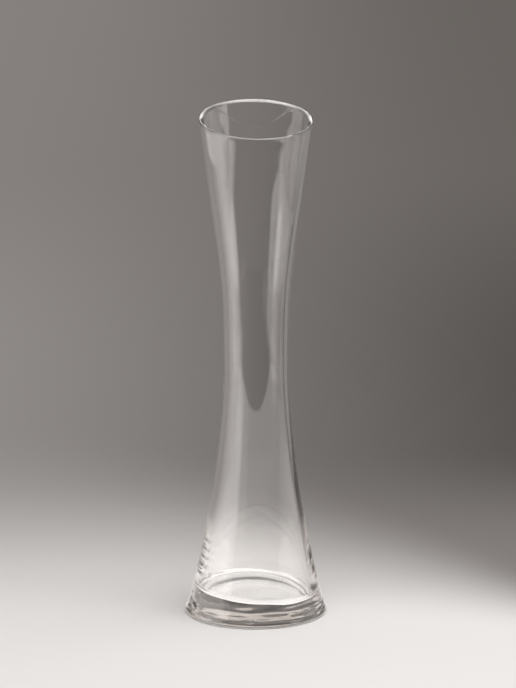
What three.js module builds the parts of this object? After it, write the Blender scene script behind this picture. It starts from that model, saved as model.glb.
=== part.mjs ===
// A slender hourglass vase of clear blown glass, in millimetres with +Z up.
// The origin is on the table, under the middle of the foot, and -Y is the front.
import * as THREE from "three";

const { degToRad, smoothstep } = THREE.MathUtils;

// Outside of the vase
const height = 300.4; // from the table to the lip's outer edge, midway between its high and low sides
const mouthRadius = 33.5;
const waistRadius = 19.15;
const waistHeight = 151.7;
const footRadius = 42.75;
const footEdgeRadius = 1.5; // rounding between the foot's widest line and the table

// How the outline bends: lengths of straight run at the ends of its two curves, and their slopes
const mouthRun = 88;
const mouthFlareSlope = 0.121; // outwards for each millimetre up
const runAboveWaist = 66;
const runBelowWaist = 40;
const footRun = 30;
const footFlareSlope = 0.37; // outwards for each millimetre down

// Thickness of the glass
const wall = 2.5; // from the lip down to the flare
const lipEdgeRadius = 0.5; // rounding of both edges of the cut lip
const heelWall = 4.5; // where the wall meets the foot
const heelHeight = 60; // below this the wall thickens towards the foot
const floorThickness = 12.2; // from the table to the floor of the hollow
const floorFillet = 3.5; // corner between the floor and the wall

// Shallow hollow under the foot, which leaves a flat ring to stand on
const underHollowRadius = 30.5;
const underHollowDepth = 0.4;
const underHollowRun = 3; // how far in it takes to level out

// Slants left by hand work, in degrees, with the side that stands higher counted from +X
const mouthSlantAngle = 10.5;
const mouthHighSideAngle = 97;
const floorSlantAngle = 4.5;
const floorHighSideAngle = 180;
const lipBevelAngle = 26; // the cut lip falls towards the inside

// Facets round the axis and along each stretch of the outline
const sideCount = 64;
const stepCount = { aboveWaist: 13, belowWaist: 11, foot: 3, footEdge: 5, lipEdge: 3, fillet: 4, underHollow: 5 };

const level = new THREE.Vector2(0, 0);
const mouthSlope = slope(mouthSlantAngle, mouthHighSideAngle);
const floorSlope = slope(floorSlantAngle, floorHighSideAngle);

// The foot ends where the floor's corner runs out into the wall.
const footHeight = floorThickness + floorFillet;
const lipEdgeHeight = height - lipEdgeRadius;
const lipBevelDrop = (wall - 2 * lipEdgeRadius) * Math.tan(degToRad(lipBevelAngle));
const insideHeight = lipEdgeHeight - lipBevelDrop;

// The outline's edge under the foot is an arc that runs on into the wall without a kink.
const footEdge = arc(
  new THREE.Vector2(footRadius - footEdgeRadius, footEdgeRadius),
  footEdgeRadius,
  -Math.PI / 2,
  Math.atan(footFlareSlope),
);
const flareStart = footEdge.getPoint(1);
const waist = new THREE.Vector2(waistRadius, waistHeight);

const lowerOutline = new THREE.CubicBezierCurve(
  flareStart,
  new THREE.Vector2(flareStart.x - footFlareSlope * footRun, flareStart.y + footRun),
  new THREE.Vector2(waistRadius, waistHeight - runBelowWaist),
  waist,
);
const upperOutline = new THREE.CubicBezierCurve(
  waist,
  new THREE.Vector2(waistRadius, waistHeight + runAboveWaist),
  new THREE.Vector2(mouthRadius - mouthFlareSlope * mouthRun, lipEdgeHeight - mouthRun),
  new THREE.Vector2(mouthRadius, lipEdgeHeight),
);
const wallStart = parameterAt(lowerOutline, footHeight);

function slope(angle, highSide) {
  const steepness = Math.tan(degToRad(angle));
  const direction = degToRad(highSide);
  return new THREE.Vector2(Math.cos(direction), Math.sin(direction)).multiplyScalar(steepness);
}

function arc(centre, radius, from, to) {
  return new THREE.EllipseCurve(centre.x, centre.y, radius, radius, from, to);
}

// Where a rising curve reaches a height, as its own parameter, by halving the stretch that holds it
function parameterAt(curve, wanted) {
  const halvingCount = 40;
  let low = 0;
  let high = 1;
  for (let halving = 0; halving < halvingCount; halving += 1) {
    const middle = (low + high) / 2;
    if (curve.getPoint(middle).y < wanted) low = middle;
    else high = middle;
  }
  return (low + high) / 2;
}

function stretch(curve, from, to, count) {
  return Array.from({ length: count + 1 }, (_, i) => curve.getPoint(from + ((to - from) * i) / count));
}

function thicknessAt(z) {
  return heelWall + (wall - heelWall) * smoothstep(z, footHeight, heelHeight);
}

// The inside follows the outside, one wall thickness in.
function inside(point) {
  return new THREE.Vector2(point.x - thicknessAt(point.y), point.y);
}

// A profile point carries the slope that its ring has once it is revolved.
function ring(point, tilt) {
  return { radius: point.x, z: point.y, tilt };
}

function levelRing(point) {
  return ring(point, level);
}

// The slant of the mouth fades out down to the waist.
function outsideRing(point) {
  return ring(point, mouthSlope.clone().multiplyScalar(smoothstep(point.y, waistHeight, height)));
}

// Inside, the slant of the floor also fades out up the heel of the wall.
function insideRing(point) {
  const floorTilt = floorSlope.clone().multiplyScalar(1 - smoothstep(point.y, floorThickness, heelHeight));
  return ring(point, outsideRing(point).tilt.add(floorTilt));
}

function revolve(profile) {
  const outline = profile.map(({ radius, z }) => new THREE.Vector2(radius, z));
  const solid = new THREE.LatheGeometry(outline, sideCount).rotateX(Math.PI / 2);
  // Faces look outwards whichever way the profile runs.
  if (THREE.ShapeUtils.isClockWise(outline)) solid.getIndex().array.reverse();
  const position = solid.getAttribute("position");
  for (let i = 0; i < position.count; i += 1) {
    const { tilt } = profile[i % profile.length];
    const rise = tilt.x * position.getX(i) + tilt.y * position.getY(i);
    position.setZ(i, position.getZ(i) + rise);
  }
  solid.computeVertexNormals();
  return solid;
}

// The heavy foot: a thick disc with a rounded edge, hollowed a little below and by the slanting floor above
function footProfile() {
  const underHollow = new THREE.QuadraticBezierCurve(
    new THREE.Vector2(0, underHollowDepth),
    new THREE.Vector2(underHollowRadius - underHollowRun, underHollowDepth),
    new THREE.Vector2(underHollowRadius, 0),
  );
  const side = stretch(lowerOutline, 0, wallStart, stepCount.foot).slice(1);
  const seamInside = inside(side.at(-1));
  const corner = new THREE.QuadraticBezierCurve(
    seamInside,
    new THREE.Vector2(seamInside.x, floorThickness),
    new THREE.Vector2(seamInside.x - floorFillet, floorThickness),
  );
  const underside = [...underHollow.getPoints(stepCount.underHollow), ...footEdge.getPoints(stepCount.footEdge)];
  return [
    ...[...underside, ...side].map(levelRing),
    ...corner.getPoints(stepCount.fillet).map(insideRing),
    insideRing(new THREE.Vector2(0, floorThickness)),
  ];
}

// The blown wall: inwards over the seam with the foot, up inside to the slanting lip, cut on a bevel, and down
// outside. Both pieces cross the seam inwards, so their facets meet there without a gap.
function wallProfile() {
  const bevelNormal = Math.PI / 2 + degToRad(lipBevelAngle);
  const outerCentre = new THREE.Vector2(mouthRadius - lipEdgeRadius, lipEdgeHeight);
  const innerCentre = new THREE.Vector2(mouthRadius - wall + lipEdgeRadius, insideHeight);
  const lip = [
    ...arc(outerCentre, lipEdgeRadius, 0, bevelNormal).getPoints(stepCount.lipEdge).slice(1),
    ...arc(innerCentre, lipEdgeRadius, bevelNormal, Math.PI).getPoints(stepCount.lipEdge),
  ];
  const insideEnd = parameterAt(upperOutline, insideHeight);
  const belowWaist = stretch(lowerOutline, wallStart, 1, stepCount.belowWaist);
  const aboveWaist = stretch(upperOutline, 0, 1, stepCount.aboveWaist).slice(1);
  const aboveWaistInside = stretch(upperOutline, 0, insideEnd, stepCount.aboveWaist).slice(1, -1);
  const upInside = [...belowWaist, ...aboveWaistInside].map(inside).map(insideRing);
  const downOutside = [...belowWaist, ...aboveWaist, ...lip].map(outsideRing).reverse();
  return [downOutside.at(-1), ...upInside, ...downOutside];
}

function clearGlass() {
  return new THREE.MeshStandardMaterial({
    color: 0xe6e8e6,
    roughness: 0.04,
    metalness: 0,
    transparent: true,
    opacity: 0.35,
  });
}

function named(name, profile) {
  const mesh = new THREE.Mesh(revolve(profile), clearGlass());
  mesh.name = name;
  return mesh;
}

const vase = new THREE.Group();
vase.add(named("foot", footProfile()), named("blown_wall", wallProfile()));

export default vase;
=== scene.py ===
"""A slender hourglass vase of clear blown glass on a pale studio table.

The scene is in metres in the CAD's frame. The sizes of the vase itself are written in millimetres."""

import math
from collections import namedtuple

import bpy
import numpy as np
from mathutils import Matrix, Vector, noise

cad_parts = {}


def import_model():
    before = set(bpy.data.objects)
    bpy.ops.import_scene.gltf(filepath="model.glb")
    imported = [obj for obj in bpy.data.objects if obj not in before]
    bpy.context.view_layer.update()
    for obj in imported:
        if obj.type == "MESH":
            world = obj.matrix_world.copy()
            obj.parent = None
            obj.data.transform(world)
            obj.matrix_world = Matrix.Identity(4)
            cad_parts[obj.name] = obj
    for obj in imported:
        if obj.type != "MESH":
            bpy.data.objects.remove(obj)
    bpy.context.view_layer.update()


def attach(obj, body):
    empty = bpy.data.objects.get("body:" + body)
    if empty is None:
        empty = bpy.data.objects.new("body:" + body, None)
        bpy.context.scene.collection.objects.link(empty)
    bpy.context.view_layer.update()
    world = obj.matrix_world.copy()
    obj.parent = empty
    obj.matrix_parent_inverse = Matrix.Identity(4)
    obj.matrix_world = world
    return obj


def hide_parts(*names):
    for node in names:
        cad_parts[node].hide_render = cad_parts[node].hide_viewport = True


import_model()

MM = 0.001

# Outside of the vase, in millimetres, as the CAD has it
HEIGHT = 300.4  # to the lip's outer edge, midway between its high and low sides
MOUTH_RADIUS = 33.5
WAIST_RADIUS = 19.15
WAIST_HEIGHT = 151.7
FOOT_RADIUS = 42.75
FOOT_EDGE_RADIUS = 1.5  # rounding between the foot's widest line and the table

# How the outline bends: lengths of straight run at the ends of its two curves, and their slopes
MOUTH_RUN = 88
MOUTH_FLARE_SLOPE = 0.121  # outwards for each millimetre up
RUN_ABOVE_WAIST = 66
RUN_BELOW_WAIST = 40
FOOT_RUN = 30
FOOT_FLARE_SLOPE = 0.37  # outwards for each millimetre down

# Thickness of the glass, and the shallow hollow under the foot
WALL = 2.5
LIP_EDGE_RADIUS = 0.5  # rounding of both edges of the cut lip
HEEL_WALL = 4.5  # where the wall meets the foot
HEEL_HEIGHT = 60  # below this the wall thickens towards the foot
FLOOR_THICKNESS = 12.2
FLOOR_FILLET = 3.5
UNDER_HOLLOW_RADIUS = 30.5
UNDER_HOLLOW_DEPTH = 0.4
UNDER_HOLLOW_RUN = 3  # how far in it takes to level out

# Slants left by hand work, in degrees, with the side that stands higher counted from +X
MOUTH_SLANT_ANGLE = 10.5
MOUTH_HIGH_SIDE_ANGLE = 97
FLOOR_SLANT_ANGLE = 4.5
FLOOR_HIGH_SIDE_ANGLE = 180
LIP_BEVEL_ANGLE = 26  # the cut lip falls towards the inside

# Heights that follow from these sizes
FOOT_HEIGHT = FLOOR_THICKNESS + FLOOR_FILLET
LIP_EDGE_HEIGHT = HEIGHT - LIP_EDGE_RADIUS
LIP_BEVEL_DROP = (WALL - 2 * LIP_EDGE_RADIUS) * math.tan(math.radians(LIP_BEVEL_ANGLE))
INSIDE_HEIGHT = LIP_EDGE_HEIGHT - LIP_BEVEL_DROP

# Fineness of the glass mesh
SEGMENTS = 288
LOWER_STEPS, UPPER_STEPS = 84, 52
LOWER_CROWDING, UPPER_CROWDING = 1.4, 1.5  # above 1 the steps crowd towards the foot and the lip
ARC_STEPS = 8
LIP_STEPS = 5
FLOOR_STEPS = 24
HOLLOW_STEPS = 36

# Unevenness of the hand-made glass, in millimetres: the size of its lumps across and along the axis, their
# depth, and which draw of the noise they take
Lumps = namedtuple("Lumps", "across along depth draw")
CORDS = Lumps(5, 130, 0.012, 1)
WAVES = Lumps(28, 70, 0.05, 2)
INNER_CORDS = Lumps(6, 110, 0.012, 3)
INNER_WAVES = Lumps(24, 60, 0.05, 4)
FOOT_LUMPS = Lumps(20, 1.8, 0.4, 5)
UNDERSIDE_LUMPS = Lumps(10, 10, 0.02, 6)
FLOOR_LUMPS = Lumps(12, 12, 0.03, 7)
FOOT_DENTS = Lumps(6, 2.5, 0.4, 8)
DRAW_APART = 37.3  # how far one draw lies from the next in the noise

# Where the unevenness of the foot and the wall fades in and out, in millimetres
FOOT_SKIN_FULL = 3 * FOOT_EDGE_RADIUS
FOOT_SKIN_TOP = FOOT_HEIGHT + FLOOR_FILLET
WALL_SKIN_FULL = 3 * FOOT_HEIGHT
EVEN_BELOW_LIP = 12  # the stretch in which the wall evens out towards the lip
EVEN_INSIDE_LIP = 1  # and how much of it stays quite even on the inside
WALL_SKIN_FADE = HEIGHT - EVEN_BELOW_LIP

# Ripples of the heel's inside, on one side
RIPPLE_LENGTH, RIPPLE_DEPTH = 5, 0.35
RIPPLE_BOTTOM, RIPPLE_TOP, RIPPLE_FADE = 19, 50, 8
RIPPLE_MIDDLE_ANGLE, RIPPLE_HALF_ANGLE = 184, 24

# The dented side of the foot, and a nick under the lip
DENTED_MIDDLE_ANGLE, DENTED_HALF_ANGLE = 212, 26
NICK_ANGLE, NICK_DROP, NICK_RADIUS, NICK_DEPTH = 238.5, 2.4, 1.3, 0.25

# Glass: a faint warm grey in its thickness, smears on its surface, fine cords, and a duller cut lip
GLASS_COLOUR, GLASS_IOR = (1, 1, 1), 1.5
GLASS_TINT, GLASS_DENSITY = (0.9, 0.89, 0.883), 78
SMEAR_SIZE, SMEAR_DETAIL = 0.03, 3
SMEAR_EDGE, SMEAR_ROUGHNESS = (0.5, 0.75), 0.012
CORD_SIZE, CORD_DETAIL = 0.004, 2
CORD_STRETCH, CORD_DEPTH = 14, 0.000006
LIP_ROUGHNESS = 0.06
LIP_DULL_FADE = 0.6 * MM
LIP_DULL = (INSIDE_HEIGHT * MM - LIP_DULL_FADE, INSIDE_HEIGHT * MM)

# Table: pale near the vase, falling off to a grey backdrop that is darker to the right. The grey glows by
# itself:
# it is painted shade of the light falling off behind the vase and towards the right. Pairs of numbers are
# the ends of a soft edge, in metres.
TABLE_HALF = 6
TABLE_DROP = 0.0003
PAPER = (0.838, 0.813, 0.796)
NEAR_GREY, NEAR_GREY_BACK = (0.228, 0.209, 0.2), (0.1, 0.4)
LOW_LEFT, LOW_RIGHT = (0.288, 0.268, 0.257), (0.082, 0.075, 0.07)
HIGH_LEFT, HIGH_RIGHT = (0.237, 0.218, 0.209), (0.14, 0.127, 0.118)
BACKDROP_HALF_WIDTH, BACKDROP_RISE = 0.3, (0.55, 1.5)

# Where the pale part starts to fall off and where it ends: level, slope and bend of a curve across the table
PALE_START = (-0.0166, -0.0635, -0.886)
PALE_END = (0.422, -1.25, -2.85)
PALE_START_IN_GLASS = (-0.035, 0, -0.5)
PALE_END_IN_GLASS = (0.365, -1.25, -2.85)
SHORTEST_FALL = 0.15

# Table as the glass shows it: a light pool round the foot, and in front of the vase a dark room beyond it
PALE = (1.25, 1.2, 1.16)
PALE_FRONT, PALE_FRONT_EDGE = (1.5, 1.44, 1.39), (-0.1, 0)
PALE_NEAR, PALE_NEAR_EDGE = (1.05, 1.01, 0.98), (0.05, 0.09)
UNDER_FOOT, UNDER_FOOT_EDGE = (1.34, 1.3, 1.265), (0.034, 0.05)  # light gathered by the glass
DARK_ROOM = (0.012, 0.011, 0.010)
FRONT_EDGE, SIDE_EDGE = (-0.25, -0.235), (0.5, 0.56)

# Softbox over the table, in metres
OVERHEAD_SIZE = (1.4, 1.0)
OVERHEAD_PLACE, OVERHEAD_AIM = (0.2, -0.36, 1.2), (0, 0, 0)
OVERHEAD_RADIANCE = 3.86

# Upright cards, in metres: where each starts and ends on the table, the heights of its bottom, its brightest
# line and its top, its brightness, and the shares of that at its back end, its bottom and its top
Card = namedtuple("Card", "front back heights radiance back_share bottom_share top_share")
CARD_COLOUR = (1, 0.955, 0.94)
LEFT, RIGHT = -0.415, 0.45
CARDS = {
    "left_room_card": Card((LEFT, -0.85), (LEFT, -0.41), (0.04, 0.08, 0.18), 0.4, 1.3, 0.5, 0.6),
    "left_front_card": Card((LEFT, -0.41), (LEFT, -0.24), (0.04, 0.08, 0.287), 1.6, 1.4, 0.3, 1),
    "left_low_card": Card((LEFT, -0.24), (LEFT, 0), (0, 0.07, 0.085), 2.05, 0.87, 0.4, 0.9),
    "left_card": Card((LEFT, -0.24), (LEFT, 0), (0.085, 0.16, 0.295), 2.0, 0.95, 0.72, 1),
    "left_back_card": Card((LEFT, 0), (LEFT, 0.19), (0, 0.06, 0.13), 1.3, 0.15, 0.7, 1),
    "left_back_high_card": Card((LEFT, 0), (LEFT, 0.35), (0.13, 0.2, 0.32), 1.6, 0.45, 0.8, 0.8),
    "right_low_card": Card((RIGHT, -0.28), (RIGHT, 0.25), (0, 0.05, 0.072), 0.65, 1, 1, 0.5),
    "right_high_card": Card((RIGHT, -0.2), (RIGHT, 0), (0.295, 0.31, 0.42), 2.0, 1, 0.8, 1),
    "right_back_card": Card((0.49, -0.03), (0.4, 0.33), (0.072, 0.17, 0.4), 0.7, 0.9, 0.3, 0.8),
    "right_far_card": Card((0.39, 0.36), (0.2, 0.62), (0, 0.05, 0.3), 0.22, 0.8, 1, 0.6),
}

# Room around the table: its brightness by direction, with soft edges as parts of a direction of length 1
ROOM_COLOUR = (1, 0.97, 0.95)
ROOM_SEEN = (0.17, 0.16, 0.152)  # behind the table, as the camera sees it
ROOM_BASE = 0.07
ROOM_BACK_LOW, ROOM_BACK_HIGH = 0.11, 0.38
ROOM_BACK_EDGE, ROOM_BACK_RISE = (0, 0.7), (0.14, 0.38)
ROOM_FRONT, ROOM_FRONT_EDGE, ROOM_FRONT_TOP = 0.12, (-0.9, -0.6), (0.2, 0.4)
ROOM_SIDE, ROOM_SIDE_EDGE = 0.12, (0.5, 0.95)

# Bright ceiling above and behind, seen in the lip's reflections
CEILING = 9
CEILING_MIDDLE, CEILING_EDGE = (0, 0.45, 0.89), (0.8, 0.9)
CEILING_WIDENING = 0.35
CEILING_DIMMING, CEILING_SIDE_SHARE = (0.15, 0.42), 0.12

CAMERA_PLACE = (0.0012, -2.5, 0.7397)
CAMERA_DOWN_ANGLE = 12.96
CAMERA_LENS = 225.3
SENSOR_WIDTH = 36

# Light runs up inside the wall through many reflections before it leaves at the lip.
GLASS_BOUNCES = 96


def smoothstep(value, low, high):
    t = np.clip((value - low) / (high - low), 0, 1)
    return t * t * (3 - 2 * t)


def between(z, start, full, fade, end):
    """1 from full up to fade, running out to 0 at start and end."""
    return smoothstep(z, start, full) * (1 - smoothstep(z, fade, end))


def steps(count, crowding=1):
    """Parameters from 0 to 1, which crowd towards 0 where crowding is above 1."""
    return np.linspace(0, 1, count + 1) ** crowding


def bezier(points, parameters):
    """Points of a Bezier curve of any degree at the given parameters."""
    share = parameters[:, None]
    rows = [np.outer(np.ones_like(parameters), point) for point in points]
    while len(rows) > 1:
        rows = [start + (end - start) * share for start, end in zip(rows, rows[1:])]
    return rows[0]


def arc(centre, radius, start, end, count):
    angles = np.linspace(start, end, count + 1)
    return np.stack([centre[0] + radius * np.cos(angles), centre[1] + radius * np.sin(angles)], axis=1)


def slope(angle, high_side):
    steepness = math.tan(math.radians(angle))
    direction = math.radians(high_side)
    return np.array([math.cos(direction), math.sin(direction)]) * steepness


def under_hollow():
    """The shallow hollow from the middle of the underside to the ring that the foot stands on."""
    level_end = UNDER_HOLLOW_RADIUS - UNDER_HOLLOW_RUN
    points = [(0, UNDER_HOLLOW_DEPTH), (level_end, UNDER_HOLLOW_DEPTH), (UNDER_HOLLOW_RADIUS, 0)]
    return bezier(points, steps(HOLLOW_STEPS))


def foot_edge():
    """The rounding from the table to where the wall's flare starts."""
    centre = (FOOT_RADIUS - FOOT_EDGE_RADIUS, FOOT_EDGE_RADIUS)
    return arc(centre, FOOT_EDGE_RADIUS, -math.pi / 2, math.atan(FOOT_FLARE_SLOPE), ARC_STEPS)


def outer_wall(start):
    """The outline from the top of the foot's edge through the waist to the lip."""
    lower = bezier(
        [
            start,
            (start[0] - FOOT_FLARE_SLOPE * FOOT_RUN, start[1] + FOOT_RUN),
            (WAIST_RADIUS, WAIST_HEIGHT - RUN_BELOW_WAIST),
            (WAIST_RADIUS, WAIST_HEIGHT),
        ],
        steps(LOWER_STEPS, LOWER_CROWDING),
    )
    upper = bezier(
        [
            (WAIST_RADIUS, WAIST_HEIGHT),
            (WAIST_RADIUS, WAIST_HEIGHT + RUN_ABOVE_WAIST),
            (MOUTH_RADIUS - MOUTH_FLARE_SLOPE * MOUTH_RUN, LIP_EDGE_HEIGHT - MOUTH_RUN),
            (MOUTH_RADIUS, LIP_EDGE_HEIGHT),
        ],
        1 - steps(UPPER_STEPS, UPPER_CROWDING)[::-1],
    )
    return np.vstack([lower, upper[1:]])


def cut_lip():
    """The bevel of the lip with its two rounded edges, from the outside in."""
    bevel = math.pi / 2 + math.radians(LIP_BEVEL_ANGLE)
    outer_centre = (MOUTH_RADIUS - LIP_EDGE_RADIUS, LIP_EDGE_HEIGHT)
    inner_centre = (MOUTH_RADIUS - WALL + LIP_EDGE_RADIUS, INSIDE_HEIGHT)
    outer_edge = arc(outer_centre, LIP_EDGE_RADIUS, 0, bevel, LIP_STEPS)
    inner_edge = arc(inner_centre, LIP_EDGE_RADIUS, bevel, math.pi, LIP_STEPS)
    return np.vstack([outer_edge[1:], inner_edge])


def inner_wall(outside):
    """The outside one wall thickness in, from the lip's inner edge down to the foot."""
    z = outside[:, 1]
    thickness = HEEL_WALL + (WALL - HEEL_WALL) * smoothstep(z, FOOT_HEIGHT, HEEL_HEIGHT)
    inside = np.stack([outside[:, 0] - thickness, z], axis=1)
    foot_end = [np.interp(FOOT_HEIGHT, z, inside[:, 0]), FOOT_HEIGHT]
    kept = inside[(z > FOOT_HEIGHT) & (z < INSIDE_HEIGHT - LIP_EDGE_RADIUS)]
    return np.vstack([kept[::-1], foot_end])


def floor_corner(start):
    """The rounded corner from the foot of the inner wall to the floor."""
    points = [start, (start[0], FLOOR_THICKNESS), (start[0] - FLOOR_FILLET, FLOOR_THICKNESS)]
    return bezier(points, steps(ARC_STEPS))


def lumps(points, kind):
    """Smooth unevenness of the points, up to the depth either way."""
    scaled = points / (kind.across, kind.across, kind.along) + kind.draw * DRAW_APART
    values = [noise.noise(point) for point in scaled.reshape(-1, 3).tolist()]
    return kind.depth * np.array(values).reshape(points.shape[:-1])


def near_angle(points, angle, half_angle):
    """1 on the side of the vase at that angle, fading to 0 on both sides of it."""
    away = np.degrees(np.arctan2(points[..., 1], points[..., 0])) - angle
    away = (away + 180) % 360 - 180
    return np.exp(-((away / half_angle) ** 2))


def pressed_foot(points):
    """Lumps all round the foot and more dents on one side, all of them inwards."""
    dented = near_angle(points, DENTED_MIDDLE_ANGLE, DENTED_HALF_ANGLE)
    dents = lumps(points, FOOT_DENTS) - FOOT_DENTS.depth
    return lumps(points, FOOT_LUMPS) - FOOT_LUMPS.depth + dented * dents


def nick(points, z):
    """A small hollow under the lip, as a depth at each point."""
    half_angle = math.degrees(NICK_RADIUS / MOUTH_RADIUS)
    away = (z - HEIGHT + NICK_DROP) / NICK_RADIUS
    return NICK_DEPTH * near_angle(points, NICK_ANGLE, half_angle) * np.exp(-(away**2))


def ripples(points, z):
    """Level waves in the heel's inside, on one side of it."""
    height = between(z, RIPPLE_BOTTOM, RIPPLE_BOTTOM + RIPPLE_FADE, RIPPLE_TOP - RIPPLE_FADE, RIPPLE_TOP)
    side = near_angle(points, RIPPLE_MIDDLE_ANGLE, RIPPLE_HALF_ANGLE)
    return RIPPLE_DEPTH * height * side * np.sin(2 * math.pi * points[..., 2] / RIPPLE_LENGTH)


# The skins: how far out each point of a stretch stands from its outline, whose own height is z
def underside_skin(points, z):
    radius = np.hypot(points[..., 0], points[..., 1])
    inside_ring = 1 - smoothstep(radius, UNDER_HOLLOW_RADIUS - UNDER_HOLLOW_RUN / 2, UNDER_HOLLOW_RADIUS)
    return inside_ring * lumps(points, UNDERSIDE_LUMPS)


def outer_skin(points, z):
    foot = between(z, 0, FOOT_SKIN_FULL, FLOOR_THICKNESS, FOOT_SKIN_TOP)
    wall = between(z, FOOT_HEIGHT, WALL_SKIN_FULL, WALL_SKIN_FADE, LIP_EDGE_HEIGHT)
    blown = lumps(points, CORDS) + lumps(points, WAVES)
    return foot * pressed_foot(points) + wall * blown - nick(points, z)


def inner_skin(points, z):
    wall = between(z, FLOOR_THICKNESS, FOOT_SKIN_TOP, WALL_SKIN_FADE, INSIDE_HEIGHT - EVEN_INSIDE_LIP)
    blown = lumps(points, INNER_CORDS) + lumps(points, INNER_WAVES)
    poured = lumps(points, FLOOR_LUMPS) * (z < HEEL_HEIGHT)
    return wall * (blown + ripples(points, z)) + (1 - wall) * poured


def even_skin(points, z):
    return np.zeros(points.shape[:-1])


def profile():
    """Stretches of the outline from the middle of the underside, over the lip, to the middle of the floor.

    Each one is its points, which slant its rings follow, and its skin."""
    edge = foot_edge()
    outside = outer_wall(edge[-1])
    inside = inner_wall(outside)
    corner = floor_corner(inside[-1])
    inside_floor = bezier([corner[-1], (0, FLOOR_THICKNESS)], steps(FLOOR_STEPS))
    return [
        (under_hollow(), "level", underside_skin),
        (edge, "level", outer_skin),
        (outside[1:], "outside", outer_skin),
        (cut_lip(), "outside", even_skin),
        (inside, "inside", inner_skin),
        (corner[1:], "inside", inner_skin),
        (inside_floor[1:], "inside", inner_skin),
    ]


def tilt(points, slant):
    """The slope of each ring: the lip's slant fades out at the waist, the floor's at the top of the heel."""
    z = points[:, 1:]
    rise = np.zeros((len(points), 2))
    if slant != "level":
        rise = rise + smoothstep(z, WAIST_HEIGHT, HEIGHT) * slope(MOUTH_SLANT_ANGLE, MOUTH_HIGH_SIDE_ANGLE)
    if slant == "inside":
        share = 1 - smoothstep(z, FLOOR_THICKNESS, HEEL_HEIGHT)
        rise = rise + share * slope(FLOOR_SLANT_ANGLE, FLOOR_HIGH_SIDE_ANGLE)
    return rise


def stacked(flat, z):
    """Points from their places across the axis and their heights."""
    return np.concatenate([flat, z[:, :, None]], axis=2)


def ring_points(points, slant, skin):
    """The rings of one stretch, moved in or out along its outline's normal by the unevenness of its skin."""
    angles = np.arange(SEGMENTS) * 2 * math.pi / SEGMENTS
    around = np.stack([np.cos(angles), np.sin(angles)], axis=1)
    flat = points[:, :1, None] * around
    rise = (flat * tilt(points, slant)[:, None, :]).sum(axis=2)
    rings = stacked(flat, points[:, 1:] + rise)
    along = np.gradient(points, axis=0)
    normal = np.stack([along[:, 1], -along[:, 0]], axis=1) / np.linalg.norm(along, axis=1)[:, None]
    outwards = stacked(normal[:, :1, None] * around, np.broadcast_to(normal[:, 1:], rise.shape))
    rings = rings + skin(rings, points[:, 1:])[:, :, None] * outwards
    # Nothing sinks below the table.
    rings[:, :, 2] = np.maximum(rings[:, :, 2], 0)
    return rings


def body_faces(count):
    """Faces between that many rings, closed at both ends by two points that come after the rings."""
    last = (count - 1) * SEGMENTS
    under_middle, floor_middle = count * SEGMENTS, count * SEGMENTS + 1
    faces = []
    for here in range(SEGMENTS):
        beside = (here + 1) % SEGMENTS
        faces.append((under_middle, beside, here))
        faces.append((last + here, last + beside, floor_middle))
        for low in range(0, last, SEGMENTS):
            high = low + SEGMENTS
            faces.append((low + here, low + beside, high + beside, high + here))
    return faces


def new_object(name, data):
    thing = bpy.data.objects.new(name, data)
    bpy.context.scene.collection.objects.link(thing)
    return thing


def glass_body():
    rings = np.vstack([ring_points(*stretch) for stretch in profile()])
    # The first and the last ring have no width, so one point stands for each.
    under_middle, floor_middle = rings[:1].mean(axis=1), rings[-1:].mean(axis=1)
    rings = rings[1:-1]
    vertices = np.vstack([rings.reshape(-1, 3), under_middle, floor_middle]) * MM
    mesh = bpy.data.meshes.new("glass_body")
    mesh.from_pydata(vertices.tolist(), [], body_faces(len(rings)))
    mesh.polygons.foreach_set("use_smooth", [True] * len(mesh.polygons))
    mesh.update()
    return new_object("glass_body", mesh)


def opaque(colour):
    return (*colour, 1)


def feed(tree, socket, value):
    """Links another node's output to the socket, or sets the socket to a plain value."""
    if isinstance(value, bpy.types.NodeSocket):
        tree.links.new(value, socket)
    else:
        socket.default_value = value


def add_node(tree, kind, **inputs):
    """A new node with its inputs fed by name, with _ for each space."""
    node = tree.nodes.new(kind)
    for name, value in inputs.items():
        feed(tree, node.inputs[name.replace("_", " ")], value)
    return node


def maths(tree, operation, *values):
    node = tree.nodes.new("ShaderNodeMath")
    node.operation = operation
    for socket, value in zip(node.inputs, values):
        feed(tree, socket, value)
    return node.outputs[0]


def ramp(tree, value, low, high, first=0, last=1, shape="SMOOTHSTEP"):
    """Runs from the first number at low to the last at high."""
    ends = {"From_Min": low, "From_Max": high, "To_Min": first, "To_Max": last}
    node = add_node(tree, "ShaderNodeMapRange", Value=value, **ends)
    node.interpolation_type = shape
    return node.outputs["Result"]


def mix_colour(tree, share, first, second):
    node = tree.nodes.new("ShaderNodeMix")
    node.data_type = "RGBA"
    feed(tree, node.inputs["Factor"], share)
    sockets = [socket for socket in node.inputs if socket.type == "RGBA"]
    for socket, colour in zip(sockets, (first, second)):
        feed(tree, socket, opaque(colour) if isinstance(colour, tuple) else colour)
    return next(socket for socket in node.outputs if socket.type == "RGBA")


def mix_shader(tree, share, first, second):
    node = tree.nodes.new("ShaderNodeMixShader")
    for socket, value in zip(node.inputs, (share, first, second)):
        feed(tree, socket, value)
    return node.outputs[0]


def axes_of(tree, place):
    return add_node(tree, "ShaderNodeSeparateXYZ", Vector=place).outputs


def light_path(tree):
    return tree.nodes.new("ShaderNodeLightPath").outputs


def mirrored(tree):
    """1 where light has been mirrored on its way, 0 where it only passed through."""
    return maths(tree, "MINIMUM", light_path(tree)["Glossy Depth"], 1)


def new_material(name):
    material = bpy.data.materials.new(name)
    material.use_nodes = True
    return material, material.node_tree


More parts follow.
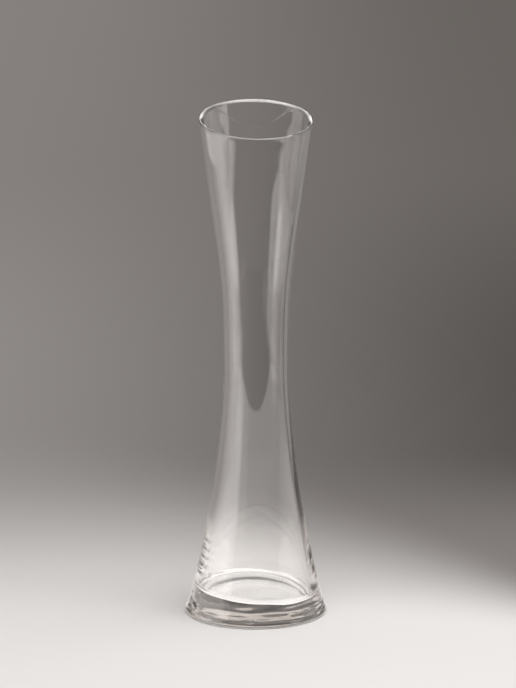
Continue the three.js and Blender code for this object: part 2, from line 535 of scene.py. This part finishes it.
def glass_roughness(tree, place):
    """Smears all over, and a duller cut lip, which follows the slant of the mouth."""
    smears = add_node(tree, "ShaderNodeTexNoise", Vector=place, Scale=1 / SMEAR_SIZE, Detail=SMEAR_DETAIL)
    smeared = ramp(tree, smears.outputs["Fac"], *SMEAR_EDGE, 0, SMEAR_ROUGHNESS)
    x, y, z = axes_of(tree, place)
    rise_x, rise_y = slope(MOUTH_SLANT_ANGLE, MOUTH_HIGH_SIDE_ANGLE)
    level = maths(tree, "MULTIPLY_ADD", y, -rise_y, maths(tree, "MULTIPLY_ADD", x, -rise_x, z))
    dull = ramp(tree, level, *LIP_DULL, 0, LIP_ROUGHNESS)
    return maths(tree, "MAXIMUM", smeared, dull)


def cord_bump(tree, place):
    """Fine cords, drawn out along the axis."""
    stretched = add_node(tree, "ShaderNodeMapping", Vector=place, Scale=(1, 1, 1 / CORD_STRETCH)).outputs[0]
    cords = add_node(tree, "ShaderNodeTexNoise", Vector=stretched, Scale=1 / CORD_SIZE, Detail=CORD_DETAIL)
    bump = add_node(tree, "ShaderNodeBump", Strength=1, Distance=CORD_DEPTH, Height=cords.outputs["Fac"])
    return bump.outputs[0]


def clear_glass():
    material, tree = new_material("clear_glass")
    place = tree.nodes.new("ShaderNodeTexCoord").outputs["Object"]
    shader = tree.nodes["Principled BSDF"]
    shader.inputs["Base Color"].default_value = opaque(GLASS_COLOUR)
    shader.inputs["IOR"].default_value = GLASS_IOR
    shader.inputs["Transmission Weight"].default_value = 1
    feed(tree, shader.inputs["Roughness"], glass_roughness(tree, place))
    feed(tree, shader.inputs["Normal"], cord_bump(tree, place))
    tint = add_node(tree, "ShaderNodeVolumeAbsorption", Color=opaque(GLASS_TINT), Density=GLASS_DENSITY)
    output = next(node for node in tree.nodes if node.type == "OUTPUT_MATERIAL")
    feed(tree, output.inputs["Volume"], tint.outputs[0])
    return material


def curve(tree, x, line):
    level, slant, bend = line
    return maths(tree, "MULTIPLY_ADD", maths(tree, "MULTIPLY_ADD", x, bend, slant), x, level)


def fallen_off(tree, x, y, start, end):
    """How far the table has turned into the backdrop between two curves across it, with a long tail."""
    start, end = curve(tree, x, start), curve(tree, x, end)
    end = maths(tree, "MAXIMUM", end, maths(tree, "ADD", start, SHORTEST_FALL))
    rest = ramp(tree, y, start, end, 1, 0)
    return maths(tree, "SUBTRACT", 1, maths(tree, "MULTIPLY", rest, rest))


def table_grey(tree, x, y):
    """The grey that the table falls off to, from just behind the vase to the top of the backdrop: painted
    shade of the light pool fading out, darker to the right.
    """
    across = ramp(tree, x, -BACKDROP_HALF_WIDTH, BACKDROP_HALF_WIDTH)
    low = mix_colour(tree, across, LOW_LEFT, LOW_RIGHT)
    high = mix_colour(tree, across, HIGH_LEFT, HIGH_RIGHT)
    backdrop = mix_colour(tree, ramp(tree, y, *BACKDROP_RISE), low, high)
    return mix_colour(tree, ramp(tree, y, *NEAR_GREY_BACK), NEAR_GREY, backdrop)


def table_in_glass(tree, x, y, grey, in_mirror, behind_front):
    """The table's colour as the glass shows it, with the light that the glass gathers under the foot."""
    near = mix_colour(tree, in_mirror, PALE_NEAR, PALE)
    pale = mix_colour(tree, ramp(tree, y, *PALE_NEAR_EDGE), near, PALE)
    within_sides = ramp(tree, maths(tree, "ABSOLUTE", x), *SIDE_EDGE, 1, 0)
    on_table = maths(tree, "MULTIPLY", ramp(tree, y, *FRONT_EDGE), within_sides)
    front = mix_colour(tree, on_table, DARK_ROOM, PALE_FRONT)
    pale = mix_colour(tree, behind_front, front, pale)
    far = fallen_off(tree, x, y, PALE_START_IN_GLASS, PALE_END_IN_GLASS)
    seen = mix_colour(tree, far, pale, grey)
    from_axis = maths(tree, "SQRT", maths(tree, "MULTIPLY_ADD", x, x, maths(tree, "MULTIPLY", y, y)))
    return mix_colour(tree, ramp(tree, from_axis, *UNDER_FOOT_EDGE, 1, 0), seen, UNDER_FOOT)


def table_material():
    """Paper under the lamps, and the same table glowing by itself where light has come through or off glass.

    Light that only passed through the glass sees the plain paper in front of the vase."""
    material, tree = new_material("table_paper")
    tree.nodes.clear()
    x, y, _ = axes_of(tree, tree.nodes.new("ShaderNodeTexCoord").outputs["Object"])
    grey = table_grey(tree, x, y)
    paper = add_node(tree, "ShaderNodeBsdfDiffuse", Color=opaque(PAPER))
    # Painted shade: the backdrop's grey glows by itself where the lamps' light falls off, instead of being
    # lit
    backdrop = add_node(tree, "ShaderNodeEmission", Color=grey, Strength=1)
    far = fallen_off(tree, x, y, PALE_START, PALE_END)
    plain = mix_shader(tree, far, paper.outputs[0], backdrop.outputs[0])
    in_mirror = mirrored(tree)
    behind_front = ramp(tree, y, *PALE_FRONT_EDGE)
    seen = table_in_glass(tree, x, y, grey, in_mirror, behind_front)
    in_glass = add_node(tree, "ShaderNodeEmission", Color=seen, Strength=1)
    path = light_path(tree)
    by_glass = maths(tree, "MAXIMUM", path["Is Transmission Ray"], path["Is Glossy Ray"])
    lit = maths(tree, "MULTIPLY", by_glass, maths(tree, "MAXIMUM", in_mirror, behind_front))
    add_node(tree, "ShaderNodeOutputMaterial", Surface=mix_shader(tree, lit, plain, in_glass.outputs[0]))
    return material


def studio_table():
    half = TABLE_HALF
    mesh = bpy.data.meshes.new("table")
    corners = [(-half, -half, 0), (half, -half, 0), (half, half, 0), (-half, half, 0)]
    mesh.from_pydata(corners, [], [(0, 1, 2, 3)])
    mesh.materials.append(table_material())
    table = new_object("table", mesh)
    table.location.z = -TABLE_DROP


def softbox(name, size, place, aim, radiance):
    """A flat lamp of even brightness."""
    lamp = bpy.data.lights.new(name, "AREA")
    lamp.shape = "RECTANGLE"
    lamp.size, lamp.size_y = size
    lamp.energy = radiance * math.pi * size[0] * size[1]
    stand = new_object(name, lamp)
    stand.location = place
    stand.rotation_euler = (Vector(aim) - Vector(place)).to_track_quat("-Z", "Y").to_euler()
    stand.visible_camera = False
    return stand


def fade(lamp, card):
    """Varies a card towards its back end, its bottom and its top, and shows it in mirrored light alone."""
    lamp.use_nodes = True
    tree = lamp.node_tree
    _, y, z = axes_of(tree, tree.nodes.new("ShaderNodeNewGeometry").outputs["Position"])
    bottom, brightest, top = card.heights
    backwards = ramp(tree, y, card.front[1], card.back[1], 1, card.back_share, "LINEAR")
    below = ramp(tree, z, bottom, brightest, card.bottom_share, 1, "LINEAR")
    above = ramp(tree, z, brightest, top, 1, card.top_share, "LINEAR")
    glow = maths(tree, "MULTIPLY", backwards, maths(tree, "MULTIPLY", below, above))
    shader = next(node for node in tree.nodes if node.type == "EMISSION")
    feed(tree, shader.inputs["Strength"], maths(tree, "MULTIPLY", glow, mirrored(tree)))


def standing_card(name, card):
    """An upright glowing card with its bright side towards the vase."""
    front, back = Vector((*card.front, 0)), Vector((*card.back, 0))
    bottom, _, top = card.heights
    middle = (front + back) / 2 + Vector((0, 0, (bottom + top) / 2))
    facing = (back - front).cross(Vector((0, 0, 1)))
    if facing.dot(middle) > 0:
        facing.negate()
    size = ((back - front).length, top - bottom)
    stand = softbox(name, size, middle, middle + facing, card.radiance)
    stand.visible_diffuse = False
    stand.data.color = CARD_COLOUR
    fade(stand.data, card)


def lamps():
    softbox("overhead_softbox", OVERHEAD_SIZE, OVERHEAD_PLACE, OVERHEAD_AIM, OVERHEAD_RADIANCE)
    for name, card in CARDS.items():
        standing_card(name, card)


def wall_light(tree, sideways, y, z):
    """A dim room, lighter high up at the back, low down in front and to both sides."""
    back_height = ramp(tree, z, *ROOM_BACK_RISE, ROOM_BACK_LOW, ROOM_BACK_HIGH)
    back = maths(tree, "MULTIPLY", ramp(tree, y, *ROOM_BACK_EDGE), back_height)
    front_height = ramp(tree, z, *ROOM_FRONT_TOP, 1, 0)
    front = maths(tree, "MULTIPLY", ramp(tree, y, *ROOM_FRONT_EDGE, 1, 0), front_height)
    level = maths(tree, "ADD", back, ROOM_BASE)
    level = maths(tree, "MULTIPLY_ADD", front, ROOM_FRONT, level)
    return maths(tree, "ADD", level, ramp(tree, sideways, *ROOM_SIDE_EDGE, 0, ROOM_SIDE))


def ceiling_light(tree, direction, sideways):
    """1 in the middle of the ceiling, dimmer to both sides, for light that was mirrored last."""
    facing = tree.nodes.new("ShaderNodeVectorMath")
    facing.operation = "DOT_PRODUCT"
    feed(tree, facing.inputs[0], direction)
    feed(tree, facing.inputs[1], CEILING_MIDDLE)
    towards = maths(tree, "MULTIPLY_ADD", sideways, CEILING_WIDENING, facing.outputs["Value"])
    path = light_path(tree)
    mirrored_last = maths(tree, "SUBTRACT", path["Is Glossy Ray"], path["Is Transmission Ray"])
    mirrored_last = maths(tree, "MAXIMUM", mirrored_last, 0)
    bright = maths(tree, "MULTIPLY", ramp(tree, towards, *CEILING_EDGE), mirrored_last)
    return maths(tree, "MULTIPLY", bright, ramp(tree, sideways, *CEILING_DIMMING, 1, CEILING_SIDE_SHARE))


def world():
    studio = bpy.data.worlds.new("studio")
    studio.use_nodes = True
    tree = studio.node_tree
    tree.nodes.clear()
    direction = tree.nodes.new("ShaderNodeTexCoord").outputs["Generated"]
    x, y, z = axes_of(tree, direction)
    sideways = maths(tree, "ABSOLUTE", x)
    ceiling = ceiling_light(tree, direction, sideways)
    level = maths(tree, "MULTIPLY_ADD", ceiling, CEILING, wall_light(tree, sideways, y, z))
    room = add_node(tree, "ShaderNodeBackground", Color=opaque(ROOM_COLOUR), Strength=level)
    seen = add_node(tree, "ShaderNodeBackground", Color=opaque(ROOM_SEEN), Strength=1)
    by_camera = light_path(tree)["Is Camera Ray"]
    surface = mix_shader(tree, by_camera, room.outputs[0], seen.outputs[0])
    add_node(tree, "ShaderNodeOutputWorld", Surface=surface)
    bpy.context.scene.world = studio


def camera():
    data = bpy.data.cameras.new("camera")
    data.sensor_width = SENSOR_WIDTH
    data.lens = CAMERA_LENS
    stand = new_object("camera", data)
    stand.location = CAMERA_PLACE
    stand.rotation_euler = (math.radians(90 - CAMERA_DOWN_ANGLE), 0, 0)
    bpy.context.scene.camera = stand


def glass_bounces():
    cycles = bpy.context.scene.cycles
    cycles.max_bounces = GLASS_BOUNCES
    cycles.glossy_bounces = GLASS_BOUNCES
    cycles.transmission_bounces = GLASS_BOUNCES
    cycles.caustics_reflective = False


vase = glass_body()
vase.data.materials.append(clear_glass())
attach(vase, "root")
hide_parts("foot", "blown_wall")

studio_table()
lamps()
world()
camera()
glass_bounces()
bpy.context.scene.view_settings.view_transform = "Standard"
